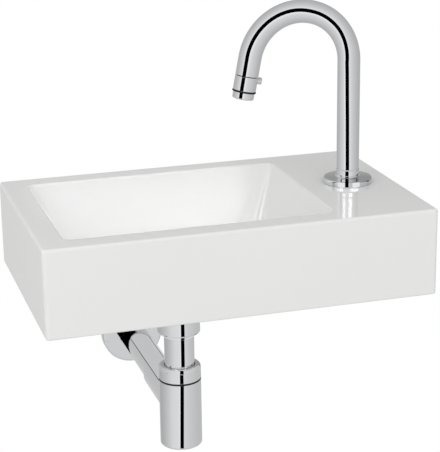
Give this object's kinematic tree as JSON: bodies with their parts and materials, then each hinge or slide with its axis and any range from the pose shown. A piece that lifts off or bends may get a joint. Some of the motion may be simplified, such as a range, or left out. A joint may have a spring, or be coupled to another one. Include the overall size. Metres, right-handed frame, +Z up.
{
  "type": "hand basin",
  "caption": "Small rectangular wall-hung ceramic hand basin with an off-centre bowl, a chrome swan-neck tap with a control ring, and a chrome bottle trap with wall rosette.",
  "frame": {"origin": "on the wall plane, midway between the two wall fixings", "axes": "+Z up, +Y into the wall, +X to the right as seen from the room"},
  "size_m": [0.4, 0.38, 0.4708],
  "materials": {
    "glaze": "white gloss glaze",
    "chrome": "polished chrome plate",
    "rubber": "black moulded rubber",
    "brass": "machined brass",
    "plastic": "moulded white acetal",
    "steel": "stainless steel"
  },
  "bodies": {
    "basin": {"basin": "glaze", "waste_top_gasket": "rubber", "waste_body": "chrome", "waste_strainer": "chrome", "waste_screw": "chrome", "waste_under_gasket": "rubber", "waste_back_nut": "brass", "trap_coupling_seal": "rubber", "trap_inlet_tube": "chrome", "trap_coupling_nut": "chrome", "trap_bottle": "chrome", "trap_gasket_ring": "rubber", "trap_cap": "chrome", "trap_cap_seal": "rubber", "outlet_seal": "rubber", "tap_flange": "chrome", "tap_flange_gasket": "rubber", "tap_shank": "brass", "neck_o_ring": "rubber", "swivel_washer": "plastic", "tap_rubber_washer": "rubber", "tap_clamp_washer": "steel", "tap_fixing_nut": "brass"},
    "spout": {"spout_tube": "chrome", "swivel_bush": "plastic", "spout_grub_screw": "steel", "valve_core": "brass", "valve_o_rings": "rubber", "tip_seal_ring": "rubber", "aerator_housing": "chrome", "aerator_insert": "plastic"},
    "control": {"control_ring": "chrome", "lever_pin": "chrome"},
    "outlet": {"outlet_tube": "chrome"},
    "rosette": {"wall_rosette": "chrome", "rosette_grip_ring": "rubber"}
  },
  "joints": [
    {"name": "spout_swivel", "type": "hinge", "parent": "basin", "child": "spout", "pos_m": [0.1515, -0.125, 0.138], "axis": [0, 0, 1], "range_deg": [-60, 60]},
    {"name": "control_turn", "type": "hinge", "parent": "spout", "child": "control", "pos_m": [0.03894, -0.125, 0.17314], "axis": [-0.1908, 0, -0.9816], "range_deg": [0, 90]},
    {"name": "outlet_slide", "type": "slide", "parent": "basin", "child": "outlet", "axis": [0, 1, 0], "range_m": [-0.05, 0]},
    {"name": "rosette_slide", "type": "slide", "parent": "outlet", "child": "rosette", "axis": [0, 1, 0], "range_m": [-0.06, 0.02]}
  ]
}
